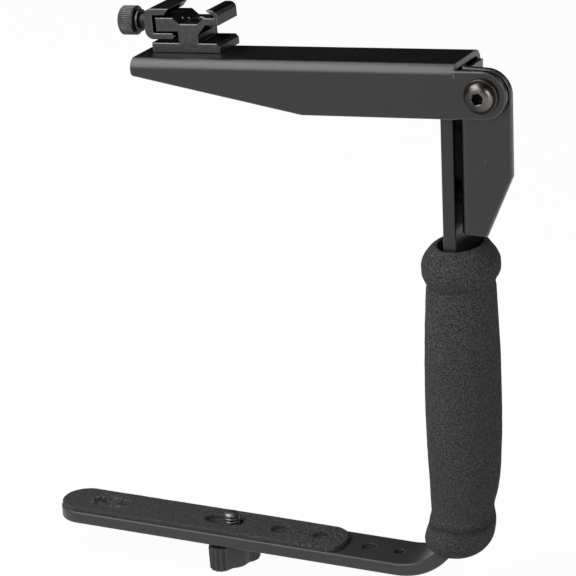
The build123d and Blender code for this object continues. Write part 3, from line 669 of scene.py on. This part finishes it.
def pad_mesh():
    """The pad's plate, in even small faces."""
    outline = bpy.data.curves.new("pad_outline", "CURVE")
    outline.dimensions, outline.fill_mode = "2D", "BOTH"
    edge = PAD_ROUND * MM
    outline.extrude = (PAD_HIGH - PAD_LOW) / 2 * MM - edge
    outline.bevel_depth, outline.bevel_resolution, outline.offset = edge, 3, -edge
    whole = Slot((PAD_LEFT + PAD_RIGHT) / 2, PAD_RIGHT - PAD_LEFT, PAD_WIDTH)
    loops = [stadium(whole, count=240, blunt=0.45), stadium(FAR_SLOT, worn=0.9)]
    loops += [stadium(slot) for slot in (SCREW_SLOT, LARGE_HOLE, SMALL_HOLE)]
    for points in loops:
        spline = outline.splines.new("POLY")
        spline.points.add(len(points) - 1)
        for point, (x, y) in zip(spline.points, points):
            point.co = (x * MM, y * MM, 0, 1)
        spline.use_cyclic_u = True
    shape = add("pad_outline", outline)
    shape.location = (0, 0, (PAD_HIGH + PAD_LOW) / 2 * MM)
    remesh = shape.modifiers.new("fine", "REMESH")
    remesh.mode, remesh.voxel_size = "VOXEL", PAD_FACE * MM
    graph = bpy.context.evaluated_depsgraph_get()
    mesh = bpy.data.meshes.new_from_object(shape.evaluated_get(graph))
    mesh.transform(shape.matrix_world)
    bpy.data.objects.remove(shape)
    bpy.data.curves.remove(outline)
    return mesh


def pad_lift(p):
    """How far the pad's skin stands up at a place: a grain, the torn rim and the lifted corner."""
    raised = min(1.0, max(0.0, (p.z - PAD_LOW - 0.9) / 0.6))
    lift = 0.06 * noise.noise(p / 1.3) + 0.05 * noise.noise(p / 6.0)
    past = max(0.0, abs(p.x - FAR_SLOT.middle) - (FAR_SLOT.length - FAR_SLOT.width) / 2)
    from_rim = sqrt(past ** 2 + p.y ** 2) - FAR_SLOT.width / 2
    lift += max(0.0, 1 - abs(from_rim) / 1.6) * (0.25 + 0.7 * noise.noise(p / 1.5))
    corner = max(0.0, 1 - (p.xy - LIFTED_CORNER.xy).length / 6.0)
    lift += corner * (0.45 + 0.5 * noise.noise(p / 1.8))
    return raised * lift


pad_skin = pad_mesh()
pad_skin.name = "pad_skin"
for vertex in pad_skin.vertices:
    vertex.co.z += pad_lift(vertex.co / MM) * MM
pad_skin.shade_smooth()
pad_skin.materials.clear()
pad_skin.materials.append(pad_rubber)
pad = add("base_pad_sheet", pad_skin)
carry(pad, "frame", "base_pad")


# Camera screw: a quarter inch stud with its thread

SCREW_FOOT, INCH_PITCH = -9.8, 1.27
stud_rows = [(SCREW_FOOT, TIP), (SCREW_FOOT, SCREW_R)]
stud_rows += thread(SCREW_FOOT + 0.2, SCREW_TOP - 0.55, SCREW_R, INCH_PITCH, depth=0.62, taper=0.5)
stud_rows += [(SCREW_TOP - 0.5, SCREW_R - 0.12), (SCREW_TOP - 0.1, SCREW_R - 0.6),
              (SCREW_TOP, SCREW_R - 0.75), (SCREW_TOP, TIP)]
stud = skin("camera_screw_stud", [lathe(Vector((SCREW_X, 0, 0)), UP, RIGHT, stud_rows)],
            stud_steel, crease=40.0)
carry(stud, "screw", "camera_screw")


# Winged knob under the bar

HUB_R, WING_REACH, WING_R, KNOB_TOP, KNOB_FLOOR = 6.6, 7.6, 4.6, -1.3, -11.8
KNOB_DRAFT, KNOB_ROUND, FLUTES, FLUTE_DEPTH, BLEND = 0.33, 1.0, 36, 1.1, 14.0
KNOB_SHOULDER = KNOB_TOP - 0.35
wing_turns = (radians(-113.0), radians(56.0))


def wing_reach(turn, wing):
    """Radius of a round tipped wing in one direction."""
    off = (turn - wing + pi) % tau - pi
    if abs(off) >= pi / 2 - 0.05:
        return 0.0
    side = WING_R / max(1e-6, abs(sin(off)))
    if side * cos(off) <= WING_REACH:
        return side
    return WING_REACH * cos(off) + sqrt(max(0.0, WING_R ** 2 - (WING_REACH * sin(off)) ** 2))


def knob_reach(inset, flute):
    """Outline of the hub and both wings, with rounded inner corners, and flutes along the wings."""
    def reach(turn):
        total = HUB_R ** BLEND + sum(wing_reach(turn, wing) ** BLEND for wing in wing_turns)
        outer = total ** (1 / BLEND)
        on_wing = max(0.0, min(1.0, (outer - HUB_R - 1.0) / 2.0))
        return outer - inset - flute * on_wing * (0.5 + 0.5 * cos(turn * FLUTES))
    return reach


knob_rows = [(KNOB_FLOOR + 2.0, TIP), (KNOB_FLOOR + 2.0, SCREW_R + 0.05),
             (KNOB_TOP, SCREW_R + 0.05), (KNOB_TOP, knob_reach(0.35, 0.0)),
             (KNOB_TOP - 0.12, knob_reach(0.12, 0.6)), (KNOB_SHOULDER, knob_reach(0.01, FLUTE_DEPTH))]
for share in (0.25, 0.5, 0.75, 1.0):
    height = KNOB_SHOULDER + (KNOB_FLOOR + KNOB_ROUND - KNOB_SHOULDER) * share
    knob_rows.append((height, knob_reach(0.01 + KNOB_DRAFT * share, FLUTE_DEPTH)))
for step in range(1, 7):
    lean = pi / 2 * step / 6
    height = KNOB_FLOOR + KNOB_ROUND * (1 - sin(lean))
    inset = 0.01 + KNOB_DRAFT + KNOB_ROUND * (1 - cos(lean))
    knob_rows.append((height, knob_reach(inset, FLUTE_DEPTH - 0.17 * step)))
knob_rows += [(KNOB_FLOOR, 3.6), (KNOB_FLOOR + 0.5, 3.2), (KNOB_FLOOR + 0.5, TIP)]
knob = skin("camera_screw_wing_knob",
            [lathe(Vector((SCREW_X, 0, 0)), UP, RIGHT, knob_rows, segments=288)], knob_plastic, crease=40.0)
carry(knob, "screw", "camera_screw_knob")


# Pivot bolt: button head with its hexagon socket, and the thread at the nut

HEAD_BASE, HEAD_R, HEAD_RIM, HEAD_FLAT = 15.15, 5.55, 1.1, 2.75
BOLT_TIP, BOLT_R, SOCKET_DEPTH = 0.54, 3.175, 2.1
bolt_socket = hexagon(SOCKET_R, radians(15))
bolt_rows = [(HEAD_TIP - SOCKET_DEPTH - 0.7, TIP), (HEAD_TIP - SOCKET_DEPTH, 1.75),
             (HEAD_TIP - SOCKET_DEPTH, bolt_socket), (HEAD_TIP - 0.28, bolt_socket),
             (HEAD_TIP, SOCKET_R + 0.14), (HEAD_TIP, HEAD_FLAT)]
bolt_rows += dome(HEAD_TIP, HEAD_BASE + HEAD_RIM, HEAD_FLAT, HEAD_R, steps=12)
bolt_rows += [(HEAD_BASE + 0.15, HEAD_R), (HEAD_BASE, HEAD_R - 0.15), (HEAD_BASE, BOLT_R)]
bolt_rows += other_way(thread(-4.0, -BOLT_TIP - 0.6, BOLT_R, INCH_PITCH, depth=0.5))
bolt_rows += [(BOLT_TIP, BOLT_R - 0.6), (BOLT_TIP, TIP)]
bolt = skin("pivot_button_bolt", [lathe(PIVOT, TOWARD, RIGHT, bolt_rows, segments=96)],
            bolt_steel, crease=32.0)
carry(bolt, "frame", "pivot_bolt")


# Lock nut behind the plate: chamfered hexagon and the collar of its insert

NUT_START, NUT_TOP, COLLAR_TOP, NUT_FLATS, COLLAR_R = -6.94, -3.54, -1.54, 11.1, 4.8
CHAMFER_SLOPE = 1.7
nut_hexagon = hexagon(NUT_FLATS / sqrt(3), radians(4.5))
nut_flat_r = NUT_FLATS / 2
nut_rows = [(NUT_START, BOLT_R + 0.05), (NUT_START, nut_flat_r - 0.1), (NUT_START + 0.12, nut_flat_r)]
nut_rows += [(NUT_START + 0.12 + rise, within(nut_hexagon, nut_flat_r + CHAMFER_SLOPE * rise))
             for rise in (0.22, 0.44)]
nut_rows += [(NUT_TOP - 0.5, nut_hexagon), (NUT_TOP - 0.25, within(nut_hexagon, nut_flat_r + 0.38)),
             (NUT_TOP, within(nut_hexagon, nut_flat_r - 0.05)),
             (NUT_TOP, COLLAR_R + 0.1), (NUT_TOP + 0.15, COLLAR_R),
             (COLLAR_TOP - 0.45, COLLAR_R), (COLLAR_TOP - 0.12, COLLAR_R - 0.2),
             (COLLAR_TOP, COLLAR_R - 0.5), (COLLAR_TOP, BOLT_R + 0.35), (COLLAR_TOP - 0.5, BOLT_R + 0.05)]
nut = skin("pivot_insert_nut", [lathe(PIVOT, FAR, RIGHT, nut_rows, segments=96)],
           plated, crease=25.0, looped=True)
carry(nut, "frame", "pivot_lock_nut")


# Two button head screws through the bracket's web

WEB_FACE, WEB_SCREW_Y, WEB_SCREW_HEIGHTS = 48.7, 1.5, (159.0, 187.5)
SMALL_R, SMALL_HEAD_R, SMALL_HEAD, SMALL_RIM, SMALL_FLAT, SMALL_END = 2.0, 3.8, 2.2, 0.3, 1.9, -8.7
SMALL_SOCKET_R, SMALL_PITCH = 1.45, 0.7
small_socket = hexagon(SMALL_SOCKET_R)
small_rows = [(SMALL_HEAD - 1.6, TIP), (SMALL_HEAD - 1.2, 1.1), (SMALL_HEAD - 1.2, small_socket),
              (SMALL_HEAD - 0.2, small_socket), (SMALL_HEAD, 1.6), (SMALL_HEAD, SMALL_FLAT)]
small_rows += dome(SMALL_HEAD, SMALL_RIM, SMALL_FLAT, SMALL_HEAD_R, steps=9)
small_rows += [(0.1, SMALL_HEAD_R), (0.0, SMALL_HEAD_R - 0.1), (0.0, SMALL_R), (-3.9, SMALL_R)]
small_rows += other_way(thread(4.2, 8.4, SMALL_R, SMALL_PITCH, depth=0.35, taper=0.3))
small_rows += [(SMALL_END, SMALL_R - 0.3), (SMALL_END, TIP)]
small_screws = skin("bracket_button_screws",
                    [lathe(Vector((WEB_FACE, WEB_SCREW_Y, height)), RIGHT, FAR, small_rows, segments=60)
                     for height in WEB_SCREW_HEIGHTS], plated, crease=32.0)
carry(small_screws, "frame", "bracket_screws")


# Shoe clamp: knurled knob with its ring and neck, and its threaded stud

KNURL_R, KNURL_LEFT, KNURL_RIGHT, KNURL_DEPTH, KNURL_RIBS = 5.75, -138.6, -132.0, 0.36, 42
RING_LEFT, RING_RIGHT, RING_R, RING_BEVEL = KNURL_RIGHT + 0.6, KNURL_RIGHT + 1.6, 4.4, 0.15
NECK_R, TUBE_R, TUBE_END = 3.5, 3.1, -125.03
CLAMP_R, CLAMP_PITCH, CLAMP_START, CLAMP_BARE, CLAMP_END = 1.5, 0.5, -137.0, -126.0, -113.2


def knurl(depth):
    """Straight ribs round the clamp's knob."""
    return lambda turn: KNURL_R - depth * (0.5 + 0.5 * cos(turn * KNURL_RIBS)) ** 2.2


knurl_rows = [(KNURL_LEFT, TIP), (KNURL_LEFT + 0.35, 0.6), (KNURL_LEFT + 0.35, 3.4), (KNURL_LEFT, 3.7),
              (KNURL_LEFT, KNURL_R - 0.65), (KNURL_LEFT + 0.2, KNURL_R - 0.5),
              (KNURL_LEFT + 0.5, knurl(0.12)), (KNURL_LEFT + 0.8, knurl(KNURL_DEPTH)),
              (KNURL_RIGHT - 0.8, knurl(KNURL_DEPTH)), (KNURL_RIGHT - 0.5, knurl(0.12)),
              (KNURL_RIGHT - 0.2, KNURL_R - 0.45), (KNURL_RIGHT, KNURL_R - 0.65),
              (KNURL_RIGHT, NECK_R), (RING_LEFT, NECK_R),
              (RING_LEFT, RING_R - RING_BEVEL), (RING_LEFT + RING_BEVEL, RING_R),
              (RING_RIGHT - RING_BEVEL, RING_R), (RING_RIGHT, RING_R - RING_BEVEL),
              (RING_RIGHT, TUBE_R), (TUBE_END - 0.12, TUBE_R), (TUBE_END, TUBE_R - 0.1), (TUBE_END, TIP)]
clamp_knob = skin("shoe_knurled_knob",
                  [lathe(CLAMP_AXIS, ARM_ALONG, FAR, knurl_rows, segments=KNURL_RIBS * 10)],
                  turned_metal, crease=38.0)
carry(clamp_knob, "jaw_knob", "shoe_knob")

clamp_rows = [(CLAMP_START, TIP), (CLAMP_START, CLAMP_R), (CLAMP_BARE, CLAMP_R)]
clamp_rows += thread(CLAMP_BARE + 0.2, CLAMP_END - 0.2, CLAMP_R, CLAMP_PITCH, depth=0.26, taper=0.3)
clamp_rows += [(CLAMP_END, CLAMP_R - 0.3), (CLAMP_END, TIP)]
clamp_screw = skin("shoe_clamp_stud", [lathe(CLAMP_AXIS, ARM_ALONG, FAR, clamp_rows, segments=48)],
                   plated, crease=40.0)
carry(clamp_screw, "jaw_knob", "shoe_clamp_screw")


# Countersunk screw in the trough, with its socket and the thread below the nut

MOUNT_X, MOUNT_TOP, MOUNT_HEAD_R, MOUNT_HEAD, MOUNT_R, MOUNT_TIP = -105.8, 11.25, 3.4, 1.9, 2.0, -6.15
mount_socket = hexagon(SMALL_SOCKET_R, radians(20))
mount_rows = [(MOUNT_TOP - 1.6, TIP), (MOUNT_TOP - 1.3, 1.15), (MOUNT_TOP - 1.3, mount_socket),
              (MOUNT_TOP - 0.15, mount_socket), (MOUNT_TOP, 1.6), (MOUNT_TOP, MOUNT_HEAD_R - 0.12),
              (MOUNT_TOP - 0.12, MOUNT_HEAD_R), (MOUNT_TOP - 0.3, MOUNT_HEAD_R - 0.1),
              (MOUNT_TOP - MOUNT_HEAD, MOUNT_R), (-4.9, MOUNT_R)]
mount_rows += other_way(thread(5.0, 6.0, MOUNT_R, SMALL_PITCH, depth=0.3, taper=0.2))
mount_rows += [(MOUNT_TIP, MOUNT_R - 0.25), (MOUNT_TIP, TIP)]
mount_screw = skin("shoe_countersunk_screw",
                   [lathe(on_arm(MOUNT_X, SHOE_Y, 0), ARM_UP, FAR, mount_rows, segments=60)],
                   dark_steel, crease=32.0)
carry(mount_screw, "arm", "shoe_mount_screw")


# Stage: a pale floor just below the knob, and six soft lamps

FLOOR_HALF, FLOOR_DROP, FLOOR_WHITE = 8000.0, 0.3, 0.96

floor_finish = Finish("floor_white", Base_Color=grey(0.74), Roughness=0.9, Specular_IOR_Level=0.0)
seen = floor_finish.node("ShaderNodeLightPath", out="Is Camera Ray")
for ray in ("Is Glossy Ray", "Is Transmission Ray"):
    seen = seen.most(floor_finish.node("ShaderNodeLightPath", out=ray))
white = floor_finish.node("ShaderNodeEmission", {}, {"Color": grey(1.0), "Strength": 1.0})
matt = Value(floor_finish, floor_finish.shader.outputs[0])
shown = floor_finish.node("ShaderNodeMixShader", {}, {0: seen * FLOOR_WHITE, 1: matt, 2: white})
floor_finish.plug(floor_finish.tree.nodes["Material Output"], "Surface", shown)
floor_corners = [Vector((x, y, 0)) * FLOOR_HALF for x, y in ((-1, -1), (1, -1), (1, 1), (-1, 1))]
floor = mesh_piece("floor", floor_corners, [(0, 1, 2, 3)], floor_finish.material)
floor.location.z = (KNOB_FLOOR - FLOOR_DROP) * MM


def soft_box(name, place, aim, size, radiance, tint=(1, 1, 1)):
    """A rectangular area lamp turned to a point, given by the brightness of its face."""
    lamp = bpy.data.lights.new(name, "AREA")
    lamp.shape, lamp.size, lamp.size_y = "RECTANGLE", *size
    lamp.energy = radiance * pi * size[0] * size[1]
    lamp.color = tint
    item = add(name, lamp)
    item.location = place
    item.rotation_euler = (Vector(aim) - item.location).to_track_quat("-Z", "Y").to_euler()


soft_box("overhead_box", (-0.95, -1.10, 1.2), (-0.95, -1.101, 0), size=(1.2, 2.3), radiance=4.7)
soft_box("overhead_back", (-0.95, 0.40, 1.2), (-0.95, 0.399, 0), size=(1.2, 0.7), radiance=2.2)
soft_box("front_panel", (-1.5, -2.5, 0.95), (-0.03, 0, 0.1), size=(1.5, 1.0), radiance=3.3)
soft_box("right_fill", (1.5, -0.7, 0.7), (0, 0, 0.12), size=(1.3, 1.2), radiance=1.9)
soft_box("warm_glint", (1.15, -0.95, 1.0), (0.05, 0, 0.2), size=(0.5, 0.5), radiance=5.0,
         tint=(1.0, 0.96, 0.91))
soft_box("back_fill", (0.9, 1.5, 1.0), (0, 0, 0.12), size=(0.8, 0.8), radiance=0.7)

# The camera sees a white world, which hardly lights the part

WORLD_LIGHT = 0.005
sky = Finish("studio", bpy.data.worlds, "Background", Color=grey(1.0))
looked_at = sky.node("ShaderNodeLightPath", out="Is Camera Ray")
sky.feed(Strength=looked_at * (1 - WORLD_LIGHT) + WORLD_LIGHT)
bpy.context.scene.world = sky.material

bpy.context.scene.view_settings.view_transform = "Standard"
